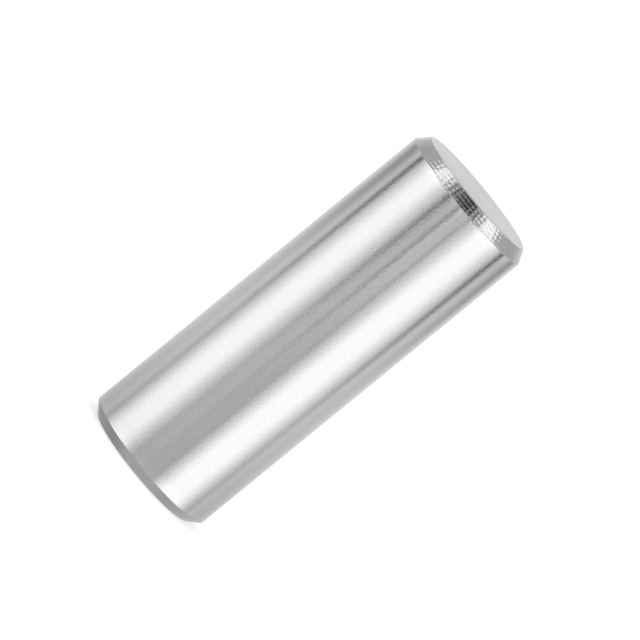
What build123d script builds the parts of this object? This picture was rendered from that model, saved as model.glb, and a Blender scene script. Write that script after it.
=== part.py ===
"""Dowel pin: one solid cylinder of hardened steel, turned from bar, chamfered and faced at both
ends and ground to size on its shank.

Millimetres, +Z up. The pin stands on its tail end: the origin is the centre of the tail face, the
axis is +Z, and the lead-in end, the one that enters a hole first, is at the top.
"""

from build123d import *
import os
from math import radians, tan

# The two sizes that the pin is ordered by.
shank_diameter = 6.0
pin_length = 16.0

# Lead-in chamfer: long and shallow, so that the pin centres itself in its hole.
lead_in_length = 0.5  # along the axis
lead_in_angle = 34.0  # between the cone and the axis, in degrees

# Tail chamfer: a short 45 degree break on the end that is pressed or struck.
tail_chamfer = 0.4  # the same along the axis and across it

# Roundings that tumbling leaves on the turned edges.
shoulder_radius = 0.08  # where the shank meets a chamfer
rim_radius = 0.06  # where a chamfer meets its end face

shank_radius = shank_diameter / 2
lead_in_face_radius = shank_radius - lead_in_length * tan(radians(lead_in_angle))
tail_face_radius = shank_radius - tail_chamfer

with BuildPart() as dowel_pin:
    # Half of the section: tail face, tail chamfer, shank, lead-in chamfer, lead-in face, axis.
    with BuildSketch(Plane.XZ) as half_section:
        with BuildLine():
            Polyline(
                (0, 0),
                (tail_face_radius, 0),
                (shank_radius, tail_chamfer),
                (shank_radius, pin_length - lead_in_length),
                (lead_in_face_radius, pin_length),
                (0, pin_length),
                close=True,
            )
        make_face()
        # A rim is the outermost corner of an end face. The shoulders lie furthest from the axis,
        # and are picked once the rims are round.
        tail_rim = half_section.vertices().group_by(Axis.Y)[0].sort_by(Axis.X)[-1]
        lead_in_rim = half_section.vertices().group_by(Axis.Y)[-1].sort_by(Axis.X)[-1]
        fillet([tail_rim, lead_in_rim], radius=rim_radius)
        shoulders = half_section.vertices().group_by(Axis.X)[-1]
        fillet(shoulders, radius=shoulder_radius)
    revolve(axis=Axis.Z)

os.makedirs("parts", exist_ok=True)
dowel_pin.part.label = "dowel_pin"
export_step(dowel_pin.part, "parts/dowel_pin.step")
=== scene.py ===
"""A hardened steel dowel pin, standing on its tail end on a pale floor inside a light tent."""

import math

import bpy
import numpy as np
from mathutils import Matrix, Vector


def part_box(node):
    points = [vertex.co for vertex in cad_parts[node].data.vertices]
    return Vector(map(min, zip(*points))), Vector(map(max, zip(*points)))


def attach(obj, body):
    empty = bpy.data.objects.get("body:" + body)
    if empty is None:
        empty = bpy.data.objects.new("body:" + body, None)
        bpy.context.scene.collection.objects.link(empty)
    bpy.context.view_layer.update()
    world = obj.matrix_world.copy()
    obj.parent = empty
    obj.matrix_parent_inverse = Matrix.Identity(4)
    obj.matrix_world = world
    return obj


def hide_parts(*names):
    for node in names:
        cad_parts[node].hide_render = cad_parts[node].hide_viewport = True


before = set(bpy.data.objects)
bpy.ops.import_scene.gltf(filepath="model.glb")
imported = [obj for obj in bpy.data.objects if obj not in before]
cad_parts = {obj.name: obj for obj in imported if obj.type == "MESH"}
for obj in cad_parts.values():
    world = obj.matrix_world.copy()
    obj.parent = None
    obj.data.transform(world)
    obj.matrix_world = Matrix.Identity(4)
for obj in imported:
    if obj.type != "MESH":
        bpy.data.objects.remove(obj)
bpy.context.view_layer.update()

# ------------------------------------------------------------------------------------------------
# The dowel pin: one piece of hardened steel. It is turned from bar, which leaves rings on its two
# chamfers and end faces, then ground on the shank and tumbled, which rounds its edges. Its sizes
# are in millimetres until the mesh is made.

MM = 0.001

low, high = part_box("dowel_pin")
pin_length = (high.z - low.z) / MM
shank_radius = min(-low.x, high.x, -low.y, high.y) / MM

lead_in_length = 0.5  # the upper chamfer, along the axis
lead_in_angle = 34.0  # and from the axis, in degrees
tail_chamfer = 0.4  # the lower chamfer, along the axis and across it
shoulder_radius = 0.08  # rounding where the shank meets a chamfer
rim_radius = 0.06  # rounding where a chamfer meets its end face

feed = 0.165  # how far the lathe tool moves in one turn
first_cut = 0.31  # the part of a turn at which the tool starts
ring_depth = 0.0046  # from the ridge between two turns to the bottom of the groove
tail_ring_depth = 0.001  # and on the tail chamfer, which was cut more finely
ring_tearing = 0.5  # the share by which that depth varies where the tool chattered
ring_margin = 0.025  # the rings fade out over this length at a chamfer's ends

CHATTER_SEED = 11
CHATTER_WAVES = 18  # how many waves add up to the chatter
CHATTER_RATES = (20, 110)  # the slowest and the fastest, in waves per turn
CHATTER_DRIFT = 0.2  # how far a wave may slip from one turn to the next, as a share of itself

STEPS_ROUND = 600
SHANK, CHAMFER, FACE = 0, 1, 2
ROWS = {SHANK: 10, CHAMFER: 44, FACE: 8}  # parts that a stretch of each finish is cut into


def ease(x, start, end):
    """0 before start and 1 after end; between them 3 t^2 - 2 t^3, t being the share of the way."""
    t = np.clip((x - start) / (end - start), 0, 1)
    return t * t * (3 - 2 * t)


def stretch(start, end, count):
    """Points on the straight line between start and end, without these two, closer together near
    both: the share of the way is (1 - cos(pi i / count)) / 2."""
    share = (1 - np.cos(np.pi * np.arange(1, count) / count)) / 2
    return np.outer(1 - share, start) + np.outer(share, end)


def rounding(corner, radius, before, after, count=8):
    """Points on the arc that rounds a corner between stretches facing the angles before and after:
    centre + radius (cos, sin), with the centre radius inside both stretches."""
    facing = np.array([[math.cos(a), math.sin(a)] for a in (before, after)])
    centre = np.array(corner) - radius * facing.sum(0) / (1 + facing[0] @ facing[1])
    angle = np.linspace(before, after, count)
    return centre + radius * np.stack([np.cos(angle), np.sin(angle)], 1)


def pin_outline():
    """Half of the pin's section as (distance from the axis, height), from the centre of the tail
    face outwards, up the shank and in to the centre of the lead-in face: straight stretches with
    an arc between each two. With each point come its finish, 1 on a rounded edge or else 0, and
    the direction in which rings are cut into it."""
    facing = np.radians([-90, -45, 0, lead_in_angle, 90])
    lead_in_drop = lead_in_length * math.tan(math.radians(lead_in_angle))
    corners = [
        (shank_radius - tail_chamfer, 0, rim_radius),
        (shank_radius, tail_chamfer, shoulder_radius),
        (shank_radius, pin_length - lead_in_length, shoulder_radius),
        (shank_radius - lead_in_drop, pin_length, rim_radius),
    ]
    arcs = [
        rounding((r, z), radius, facing[i], facing[i + 1])
        for i, (r, z, radius) in enumerate(corners)
    ]
    arcs = [np.zeros((1, 2)), *arcs, np.array([[0, pin_length]])]
    points, finish, edge, cut = [arcs[0]], [[FACE]], [[0]], [[(0, 0)]]
    for i, kind in enumerate([FACE, CHAMFER, SHANK, CHAMFER, FACE]):
        arc = arcs[i + 1]
        line = stretch(arcs[i][-1], arc[0], ROWS[kind])
        inward = (-math.cos(facing[i]), -math.sin(facing[i])) if kind == CHAMFER else (0, 0)
        is_edge = len(arc) > 1
        points += [line, arc]
        finish += [np.full(len(line), kind), np.full(len(arc), CHAMFER if is_edge else FACE)]
        edge += [np.zeros(len(line)), np.full(len(arc), float(is_edge))]
        cut += [np.tile(inward, (len(line), 1)), np.zeros((len(arc), 2))]
    return [np.concatenate(group) for group in (points, finish, edge, cut)]


def chatter(turns_cut):
    """How hard the tool bites after so many turns, between -1 and 1: tanh(2 s / 3), s being a sum
    of cosines. Their rates are nearly whole numbers, so that marks nearly line up across turns."""
    random = np.random.default_rng(CHATTER_SEED)
    rates = random.integers(*CHATTER_RATES, CHATTER_WAVES)
    rates = rates + random.uniform(-CHATTER_DRIFT, CHATTER_DRIFT, CHATTER_WAVES)
    starts = random.uniform(0, 2 * np.pi, CHATTER_WAVES)
    waves = np.cos(2 * np.pi * turns_cut[..., None] * rates + starts)
    return np.tanh(2 * waves.sum(-1) / 3)


def ring_grooves(along, to_edge, turn):
    """How deep the rings are at each place along the outline and round the pin. They are one
    spiral, so the share x of a feed grows by 1 on the way round. A groove is 1 - (2 x^3 - 1)^2
    deep: it deepens gently towards the lead-in end and climbs steeply to the next ridge. Chatter
    changes its depth, and also sinks the ridges a little."""
    turns = (along - along[-1])[:, None] / feed + turn + first_cut
    bite = chatter(np.floor(turns) - turn)
    depth = np.where(along[:, None] < along.mean(), tail_ring_depth, ring_depth)
    groove = depth * (1 - (2 * (turns % 1) ** 3 - 1) ** 2) * (1 + ring_tearing * bite)
    groove += depth * ring_tearing * (1 + bite) / 2
    return groove * ease(to_edge, 0, ring_margin)[:, None]


def turned_pin(name):
    """The outline carried round the axis: (r cos a, r sin a, height) at the angle a, with the rings
    cut into it. Quads join neighbouring rings, and a fan of triangles closes each end face."""
    outline, finish, edge, cut = pin_outline()
    along = np.r_[0, np.cumsum(np.hypot(*np.diff(outline, axis=0).T))]
    on_edge = np.flatnonzero(edge + (outline[:, 0] == 0))
    to_edge = np.abs(along[:, None] - along[on_edge]).min(1)
    turn = np.arange(STEPS_ROUND) / STEPS_ROUND
    groove = ring_grooves(along, to_edge, turn)

    inner = slice(1, -1)
    across = (outline[:, :1] + cut[:, :1] * groove)[inner]
    height = (outline[:, 1:] + cut[:, 1:] * groove)[inner]
    angle = 2 * np.pi * turn
    rings = np.stack([across * np.cos(angle), across * np.sin(angle), height], -1)
    poles = np.array([[0, 0, 0], [0, 0, pin_length]])
    points = np.concatenate([rings.reshape(-1, 3), poles]) * MM

    rows = len(rings)
    first = np.arange(rows * STEPS_ROUND).reshape(rows, STEPS_ROUND)
    second = np.roll(first, -1, 1)
    quads = np.stack([first[:-1], second[:-1], second[1:], first[1:]], -1).reshape(-1, 4)
    tail = np.full(STEPS_ROUND, rows * STEPS_ROUND)
    tail_fan = np.stack([tail, second[0], first[0]], -1)
    lead_in_fan = np.stack([tail + 1, first[-1], second[-1]], -1)

    mesh = bpy.data.meshes.new(name)
    mesh.from_pydata(points, [], quads.tolist() + tail_fan.tolist() + lead_in_fan.tolist())
    for label, values in (("along", along), ("edge", edge)):
        on_points = np.r_[np.repeat(values[inner], STEPS_ROUND), values[0], values[-1]]
        attribute = mesh.attributes.new(label, "FLOAT", "POINT")
        attribute.data.foreach_set("value", on_points.astype(np.float32))
    band = np.minimum(finish[inner][:-1], finish[inner][1:])
    kinds = np.r_[np.repeat(band, STEPS_ROUND), np.full(2 * STEPS_ROUND, FACE)]
    mesh.polygons.foreach_set("material_index", kinds.astype(np.int32))
    mesh.shade_smooth()
    mesh.validate()
    pin = bpy.data.objects.new(name, mesh)
    bpy.context.scene.collection.objects.link(pin)
    return pin


def add(tree, kind, sockets=(), **settings):
    """A new node. settings are its own properties, and sockets are its inputs by name or number:
    a value, or another node's output to join to it."""
    node = tree.nodes.new(kind)
    for key, value in settings.items():
        setattr(node, key, value)
    for key, value in dict(sockets).items():
        if isinstance(value, bpy.types.NodeSocket):
            tree.links.new(value, node.inputs[key])
        else:
            node.inputs[key].default_value = value
    return node


def calculate(tree, operation, *values):
    """One step of arithmetic on values and sockets."""
    return add(tree, "ShaderNodeMath", enumerate(values), operation=operation).outputs[0]


def new_group(name, inputs, outputs):
    """An empty node group with float sockets of these names."""
    group = bpy.data.node_groups.new(name, "ShaderNodeTree")
    for label in inputs:
        group.interface.new_socket(label, in_out="INPUT", socket_type="NodeSocketFloat")
    for label in outputs:
        group.interface.new_socket(label, in_out="OUTPUT", socket_type="NodeSocketFloat")
    return group, group.nodes.new("NodeGroupInput"), group.nodes.new("NodeGroupOutput")


def place_in_mm(tree):
    """Object coordinates in millimetres, as three sockets."""
    place = add(tree, "ShaderNodeTexCoord").outputs["Object"]
    scaled = add(tree, "ShaderNodeVectorMath", {0: place, "Scale": 1 / MM}, operation="SCALE")
    return add(tree, "ShaderNodeSeparateXYZ", {0: scaled.outputs[0]}).outputs


def make_tool_marks():
    """Fine marks that run round the pin. Noise is read at (x / run, y / run, along * marks per mm),
    so that a mark keeps its place along the outline for about the length of a run."""
    group, given, out = new_group("tool_marks", ["Marks per mm", "Run"], ["Height"])
    x, y, _ = place_in_mm(group)
    along = add(group, "ShaderNodeAttribute", attribute_name="along").outputs["Fac"]
    where = add(group, "ShaderNodeCombineXYZ", {
        0: calculate(group, "DIVIDE", x, given.outputs["Run"]),
        1: calculate(group, "DIVIDE", y, given.outputs["Run"]),
        2: calculate(group, "MULTIPLY", along, given.outputs["Marks per mm"]),
    }).outputs[0]
    marks = add(group, "ShaderNodeTexNoise", {"Vector": where, "Scale": 1, "Detail": 2})
    group.links.new(marks.outputs["Fac"], out.inputs["Height"])
    return group


SPECKLE_RANGE = (0.25, 0.75)  # noise between these is stretched to -1 to 1


def make_metal_grain():
    """Speckle with no direction, between -1 and 1, from noise whose cells are Size mm across."""
    group, given, out = new_group("metal_grain", ["Size"], ["Grain"])
    x, y, z = place_in_mm(group)
    where = add(group, "ShaderNodeCombineXYZ", {0: x, 1: y, 2: z}).outputs[0]
    scale = calculate(group, "DIVIDE", 1, given.outputs["Size"])
    speckle = add(group, "ShaderNodeTexNoise", {"Vector": where, "Scale": scale, "Detail": 2})
    grain = add(group, "ShaderNodeMapRange", {
        "Value": speckle.outputs["Fac"],
        "From Min": SPECKLE_RANGE[0],
        "From Max": SPECKLE_RANGE[1],
        "To Min": -1,
        "To Max": 1,
    })
    group.links.new(grain.outputs["Result"], out.inputs["Grain"])
    return group


EDGE_POLISH, EDGE_UNEVEN = 0.75, 0.25  # how far an edge is polished, and how much that varies


def make_worn_edge():
    """How far an edge is polished bright, from 0 to 1: the rounded edges, broken up by grain."""
    group, given, out = new_group("worn_edge", ["Grain"], ["Polish"])
    edge = add(group, "ShaderNodeAttribute", attribute_name="edge").outputs["Fac"]
    uneven = calculate(group, "MULTIPLY_ADD", given.outputs["Grain"], EDGE_UNEVEN, EDGE_POLISH)
    group.links.new(calculate(group, "MULTIPLY", edge, uneven), out.inputs["Polish"])
    return group


tool_marks = make_tool_marks()
metal_grain = make_metal_grain()
worn_edge = make_worn_edge()

STEEL_GREY = 0.5
ROUGHNESS_SPREAD = 0.02  # how much grain changes the roughness
EDGE_BRIGHTER, EDGE_SMOOTHER = 0.06, 0.05  # what polish adds to the grey and takes off the roughness
ACROSS_THE_MARKS = 0.25  # of a turn, from round the pin to along its axis


def steel(name, roughness, lay, marks_per_mm, run, mark_height, grain_size, grain_height, mottle):
    """Bare steel with one finish. lay is how much more the marks scatter light across them than
    along them, heights are in millimetres, and mottle is the share by which the grey varies."""
    material = bpy.data.materials.new(name)
    material.use_nodes = True
    tree = material.node_tree
    tree.nodes.clear()
    marks = add(tree, "ShaderNodeGroup", node_tree=tool_marks)
    marks.inputs["Marks per mm"].default_value = marks_per_mm
    marks.inputs["Run"].default_value = run
    grain = add(tree, "ShaderNodeGroup", node_tree=metal_grain)
    grain.inputs["Size"].default_value = grain_size
    worn = add(tree, "ShaderNodeGroup", node_tree=worn_edge)
    tree.links.new(grain.outputs["Grain"], worn.inputs["Grain"])
    polish = worn.outputs["Polish"]

    grey = calculate(tree, "MULTIPLY_ADD", grain.outputs["Grain"], STEEL_GREY * mottle, STEEL_GREY)
    grey = calculate(tree, "MULTIPLY_ADD", polish, EDGE_BRIGHTER, grey)
    colour = add(tree, "ShaderNodeCombineColor", {0: grey, 1: grey, 2: grey}).outputs[0]
    rough = calculate(tree, "MULTIPLY_ADD", grain.outputs["Grain"], ROUGHNESS_SPREAD, roughness)
    rough = calculate(tree, "MULTIPLY_ADD", polish, -EDGE_SMOOTHER, rough)
    scored = add(tree, "ShaderNodeBump", {
        "Height": marks.outputs["Height"],
        "Distance": mark_height * MM,
    })
    pitted = add(tree, "ShaderNodeBump", {
        "Height": grain.outputs["Grain"],
        "Distance": grain_height * MM,
        "Normal": scored.outputs[0],
    })
    round_axis = add(tree, "ShaderNodeTangent", direction_type="RADIAL", axis="Z").outputs[0]
    shader = add(tree, "ShaderNodeBsdfPrincipled", {
        "Base Color": colour,
        "Metallic": 1,
        "Roughness": rough,
        "Normal": pitted.outputs[0],
        "Anisotropic": lay,
        "Anisotropic Rotation": ACROSS_THE_MARKS,
        "Tangent": round_axis,
    })
    add(tree, "ShaderNodeOutputMaterial", {"Surface": shader.outputs[0]})
    return material


ground_shank = steel(
    "ground_shank",
    roughness=0.11,
    lay=1.0,
    marks_per_mm=14,
    run=0.2,
    mark_height=0.0018,
    grain_size=0.065,
    grain_height=0.0009,
    mottle=0.05,
)
turned_chamfer = steel(
    "turned_chamfer",
    roughness=0.12,
    lay=0.8,
    marks_per_mm=24,
    run=0.15,
    mark_height=0.0016,
    grain_size=0.07,
    grain_height=0.0008,
    mottle=0.08,
)
faced_end = steel(
    "faced_end",
    roughness=0.18,
    lay=0.3,
    marks_per_mm=22,
    run=1.5,
    mark_height=0.0002,
    grain_size=0.15,
    grain_height=0.0001,
    mottle=0.02,
)

pin = turned_pin("ground_dowel_pin")
for finish in (ground_shank, turned_chamfer, faced_end):  # in the order of SHANK, CHAMFER, FACE
    pin.data.materials.append(finish)
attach(pin, "root")
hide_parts("dowel_pin")

# ------------------------------------------------------------------------------------------------
# The light tent: a sphere of white cloth round the pin, lit from outside by a tall soft box on
# either side and open towards the camera, where it is grey. Only polished metal sees it.

TENT_RADIUS = 0.05
TENT_STEPS = (720, 180)  # round, and from bottom to top
TENT_END = 89.5  # how far up and down the rings of points go, in degrees; flat caps close the rest


def stripe(x, middle, half_width):
    """1 at the middle, easing to 0 at half_width on either side."""
    return 1 - ease(np.abs(x - middle), 0, half_width)


def patch(side, up, at, size):
    """1 at a place on the tent, easing to 0 at size away from it round and up."""
    return stripe(side, at[0], size[0]) * stripe(up, at[1], size[1])


def between(x, rise, fall):
    """1 from the end of the span rise to the start of the span fall, easing to 0 over both."""
    return ease(x, *rise) * (1 - ease(x, *fall))


def grey_front(side, up, level):
    """The tone of the front: grey, lighter to the left and darker towards the top. At the level of
    the lens it has three dark seams and a light one. Its folds are a sum of cosines of angles that
    grow with side and up, and they multiply the tone."""
    grey = 0.74
    left_part, left_gain = (0, 6), 0.09
    top, top_loss = (22, 66), 0.5
    crown, crown_loss = (54, 66), 0.24
    above_floor, above_floor_gain = (-18, -12), 0.05
    hollow, hollow_size, hollow_loss = (17, 2.6), (15, 2.8), 0.45
    left_seam, left_seam_loss = (22, 7.5), 0.52
    middle_seam, middle_seam_loss = (0.6, 4), 0.58
    light_seam, light_seam_gain = (-4.5, 4), 0.25
    right_seam, right_seam_loss, right_seam_end_loss = (-20.5, 2.5), 0.6, 0.04
    level_gain = 0.1
    corner, corner_size, corner_gain = (33, -4), (14, 5), 0.25
    waves = ((83, 40, 0), (61, -57, 70), (127, -90, 0), (36, 71, 0))  # turn with side, with up, start
    fold_depth, fold_level_depth = 0.13, 0.04

    tone = grey + left_gain * ease(side, *left_part) + above_floor_gain * ease(up, *above_floor)
    tone = tone - top_loss * ease(up, *top) - crown_loss * ease(up, *crown)
    tone = tone - hollow_loss * patch(side, up, hollow, hollow_size)
    tone = tone - level * left_seam_loss * stripe(side, *left_seam)
    tone = tone - level * middle_seam_loss * stripe(side, *middle_seam)
    tone = tone + level * light_seam_gain * stripe(side, *light_seam)
    tone = tone - (right_seam_end_loss + level * right_seam_loss) * stripe(side, *right_seam)
    tone = tone + level_gain * level + corner_gain * patch(side, up, corner, corner_size)
    folds = sum(np.cos(np.radians(a * side + b * up + c)) for a, b, c in waves)
    return tone * (1 + (fold_depth + fold_level_depth * level) * folds)


def white_wall(side, up):
    """The tone of the wall: white, darker overhead, towards the floor and behind the stand of each
    soft box, and lighter right behind the boxes and at the back."""
    away, left = np.abs(side), side > 0
    white = 0.95
    upper_part, upper_loss = (-7, 5), 0.1
    overhead, overhead_loss = (12, 40), 0.22
    box_back, box_back_gain = (107, 16), 0.1
    back, back_height, back_gain = (140, 165), (8, 14), 0.1
    far_back, far_back_height, far_back_gain = (155, 172), (-17, 11), 0.25
    depth_below, depth_below_loss = (8, 26), 0.28
    low_band, low_band_loss = (-38, 28), np.where(left, 0.2, 0)
    floor_band, floor_band_loss = (-62, 18), np.where(left, 0.2, 0.05)
    stand = (np.where(left, 126, 131), np.where(left, 24, 18))
    stand_foot, stand_top, stand_loss = (-8, 2), (8, 24), 0.38

    tone = white - upper_loss * ease(up, *upper_part) - overhead_loss * ease(up, *overhead)
    tone = tone + box_back_gain * stripe(away, *box_back)
    tone = tone + back_gain * stripe(up, *back_height) * ease(away, *back)
    tone = tone + far_back_gain * stripe(up, *far_back_height) * ease(away, *far_back)
    tone = tone - depth_below_loss * ease(-up, *depth_below)
    tone = tone - low_band_loss * stripe(up, *low_band) - floor_band_loss * stripe(up, *floor_band)
    return tone - stand_loss * stripe(away, *stand) * between(up, stand_foot, stand_top)


def tent_glow(side, up):
    """How bright the cloth is. side is the angle round the pin from the camera, positive towards
    -X, and up the angle above the horizon, both in degrees. Each soft box rises from its front
    edge to a peak and falls to its back edge. Before it lies the grey front, and behind it the
    white wall, with the box's dark frame between them."""
    away, left = np.abs(side), side > 0
    below_lens, above_lens = (-8, 2), (14, 30)
    level = between(up, below_lens, above_lens)
    raised = ease(up, -5, 50)  # the boxes are narrower and further back towards the top
    late = ease(up, -7, 1)  # and their back edge comes sooner above the floor

    foot_tone, foot_loss = 1.03, 0.6
    edge, edge_width = 24, 3
    edge_shift, first_shift, second_shift = np.where(left, 2, 0), (-4, 1), (0.4, 2)
    rise_start, rise_start_shift = 24.5, 10
    rise_end, rise_end_shift = np.where(left, 52, 48), 20
    fall_start, fall_start_shift, fall_start_late = np.where(left, 64, 66), 13, 4
    fall_end, fall_end_shift, fall_end_late = np.where(left, 97, 100), 2, 1.5
    peak_tone, dip, dip_size, dip_loss = np.where(left, 1.86, 1.93), (66, -20), (30, 6), 0.15

    foot = foot_tone - foot_loss * raised
    step = edge + edge_shift * (ease(up, *first_shift) + ease(up, *second_shift))
    front = grey_front(side, up, level)
    front = front + (foot - front) * ease(away, step, step + edge_width)
    peak = peak_tone - dip_loss * patch(side, up, dip, dip_size)
    rise = ease(away, rise_start + rise_start_shift * raised, rise_end + rise_end_shift * raised)
    fall = ease(
        away,
        fall_start + fall_start_shift * raised - fall_start_late * late,
        fall_end - fall_end_shift * raised - fall_end_late * late,
    )
    wall = white_wall(side, up)
    glow = front + (peak - front) * rise
    glow = glow + (wall - glow) * fall

    right_glint, right_glint_size, right_glint_gain = (-18, -0.8), (25, 2.2), 0.6
    left_shade, left_shade_size, left_shade_loss = (18, 2.4), (24, 2.2), 0.2
    middle_shade, middle_shade_size, middle_shade_loss = (-4, 2.4), (16, 2.2), 0.14
    glow = glow + right_glint_gain * patch(side, up, right_glint, right_glint_size)
    glow = glow - left_shade_loss * patch(side, up, left_shade, left_shade_size)
    glow = glow - middle_shade_loss * patch(side, up, middle_shade, middle_shade_size)

    skirt_depth, skirt_left, skirt_right, skirt_loss = (14.5, 18), (70, 82), (0, 15), 0.13
    glow = glow - skirt_loss * ease(-up, *skirt_depth) * between(side, skirt_right, skirt_left)
    below_boxes = (45, 60)
    glow = glow + (wall - glow) * ease(-up, *below_boxes)

    frame_post = (np.where(left, 96.2, 98.4), 8.5)
    frame_foot, frame_top, frame_low_loss, frame_loss = (-11, 4), (12, 28), 0.1, 0.7
    frame_line = stripe(away, *frame_post) * (frame_low_loss + frame_loss * ease(up, *frame_foot))
    return glow * (1 - frame_line * (1 - ease(up, *frame_top)))


def make_tent():
    """A closed sphere about the pin's middle; point (i, j) lies at the angle i round it and j up."""
    steps, rows = TENT_STEPS
    round_about = np.arange(steps) / steps * 360 - 180
    side, up = np.meshgrid(round_about, np.linspace(-TENT_END, TENT_END, rows))
    a, b = np.radians(side.ravel()), np.radians(up.ravel())
    points = TENT_RADIUS * np.stack([-np.sin(a) * np.cos(b), -np.cos(a) * np.cos(b), np.sin(b)], -1)
    points[:, 2] += pin_length / 2 * MM
    first = np.arange(rows * steps).reshape(rows, steps)
    second = np.roll(first, -1, 1)
    quads = np.stack([first[:-1], second[:-1], second[1:], first[1:]], -1).reshape(-1, 4)
    mesh = bpy.data.meshes.new("light_tent")
    caps = [first[0].tolist(), first[-1].tolist()]
    mesh.from_pydata(points, [], quads.tolist() + caps)
    glow = mesh.attributes.new("glow", "FLOAT", "POINT")
    glow.data.foreach_set("value", tent_glow(side, up).ravel().astype(np.float32))
    tent = bpy.data.objects.new("light_tent", mesh)
    bpy.context.scene.collection.objects.link(tent)
    tent.visible_camera = tent.visible_diffuse = tent.visible_shadow = False
    tent.visible_transmission = tent.visible_volume_scatter = False
    return tent


tent = make_tent()
cloth = bpy.data.materials.new("tent_cloth")
cloth.use_nodes = True
cloth.cycles.emission_sampling = "NONE"
cloth.node_tree.nodes.clear()
brightness = add(cloth.node_tree, "ShaderNodeAttribute", attribute_name="glow").outputs["Fac"]
lit = add(cloth.node_tree, "ShaderNodeEmission", {"Strength": brightness})
add(cloth.node_tree, "ShaderNodeOutputMaterial", {"Surface": lit.outputs[0]})
tent.data.materials.append(cloth)

# ------------------------------------------------------------------------------------------------
# The floor: a pale matt sheet that the pin stands on. It is white to the camera wherever nothing
# shades it, and holds the pin's soft shadow. The metal sees the tent in its place.

FLOOR_HALF_WIDTH = 3.0
SHEET_GREY = 0.85
SHEET_LIFT = 0.4  # light added for the camera, so that the unshaded floor is white


def background_rays(tree):
    """1 for camera, glossy and transmission rays, or else 0."""
    path = add(tree, "ShaderNodeLightPath").outputs
    seen = calculate(tree, "MAXIMUM", path["Is Camera Ray"], path["Is Glossy Ray"])
    return calculate(tree, "MAXIMUM", seen, path["Is Transmission Ray"])


corners = FLOOR_HALF_WIDTH * np.array([[-1, -1, 0], [1, -1, 0], [1, 1, 0], [-1, 1, 0]])
floor_mesh = bpy.data.meshes.new("floor")
floor_mesh.from_pydata(corners, [], [(0, 1, 2, 3)])
floor = bpy.data.objects.new("floor", floor_mesh)
bpy.context.scene.collection.objects.link(floor)
floor.visible_glossy = False
sheet = bpy.data.materials.new("pale_sheet")
sheet.use_nodes = True
tree = sheet.node_tree
tree.nodes.clear()
matt = add(tree, "ShaderNodeBsdfDiffuse", {"Color": (SHEET_GREY, SHEET_GREY, SHEET_GREY, 1)})
added_light = calculate(tree, "MULTIPLY", background_rays(tree), SHEET_LIFT)
lift = add(tree, "ShaderNodeEmission", {"Strength": added_light})
both = add(tree, "ShaderNodeAddShader", {0: matt.outputs[0], 1: lift.outputs[0]})
add(tree, "ShaderNodeOutputMaterial", {"Surface": both.outputs[0]})
floor_mesh.materials.append(sheet)

# ------------------------------------------------------------------------------------------------
# The world: an even white room, which is also the background.

ROOM_LIGHT = 0.9  # what reaches matt surfaces
WHITE = (1, 1, 1, 1)

world = bpy.data.worlds.new("white_room")
bpy.context.scene.world = world
world.use_nodes = True
tree = world.node_tree
tree.nodes.clear()
strength = calculate(tree, "MULTIPLY_ADD", background_rays(tree), 1 - ROOM_LIGHT, ROOM_LIGHT)
room = add(tree, "ShaderNodeBackground", {"Color": WHITE, "Strength": strength})
add(tree, "ShaderNodeOutputWorld", {"Surface": room.outputs[0]})

# ------------------------------------------------------------------------------------------------
# The camera: a long lens a little above the pin, turned on its side so that the pin leans to the
# right with its lead-in end uppermost.

LENS = 555  # in the camera's millimetres
DISTANCE = 0.362
ELEVATION = 7.4  # degrees
LEAN = 50.73  # degrees, from upright to the right
ASIDE = 0.000375  # how far the middle of the view lies to the right of the pin's middle
ABOVE = 0.000365  # and above it

camera_data = bpy.data.cameras.new("long_lens")
camera_data.lens = LENS
camera = bpy.data.objects.new("long_lens", camera_data)
bpy.context.scene.collection.objects.link(camera)
bpy.context.scene.camera = camera
e, lean = math.radians(ELEVATION), math.radians(LEAN)
back = np.array([0, -math.cos(e), math.sin(e)])
across, upward = np.array([1, 0, 0]), np.array([0, math.sin(e), math.cos(e)])
right = math.cos(lean) * across + math.sin(lean) * upward
top = math.cos(lean) * upward - math.sin(lean) * across
middle = np.array([0, 0, pin_length / 2 * MM])
place = middle + DISTANCE * back + ASIDE * right + ABOVE * top
pose = np.eye(4)
pose[:3, :] = np.stack([right, top, back, place], 1)
camera.matrix_world = Matrix(pose)

bpy.context.scene.view_settings.view_transform = "Standard"
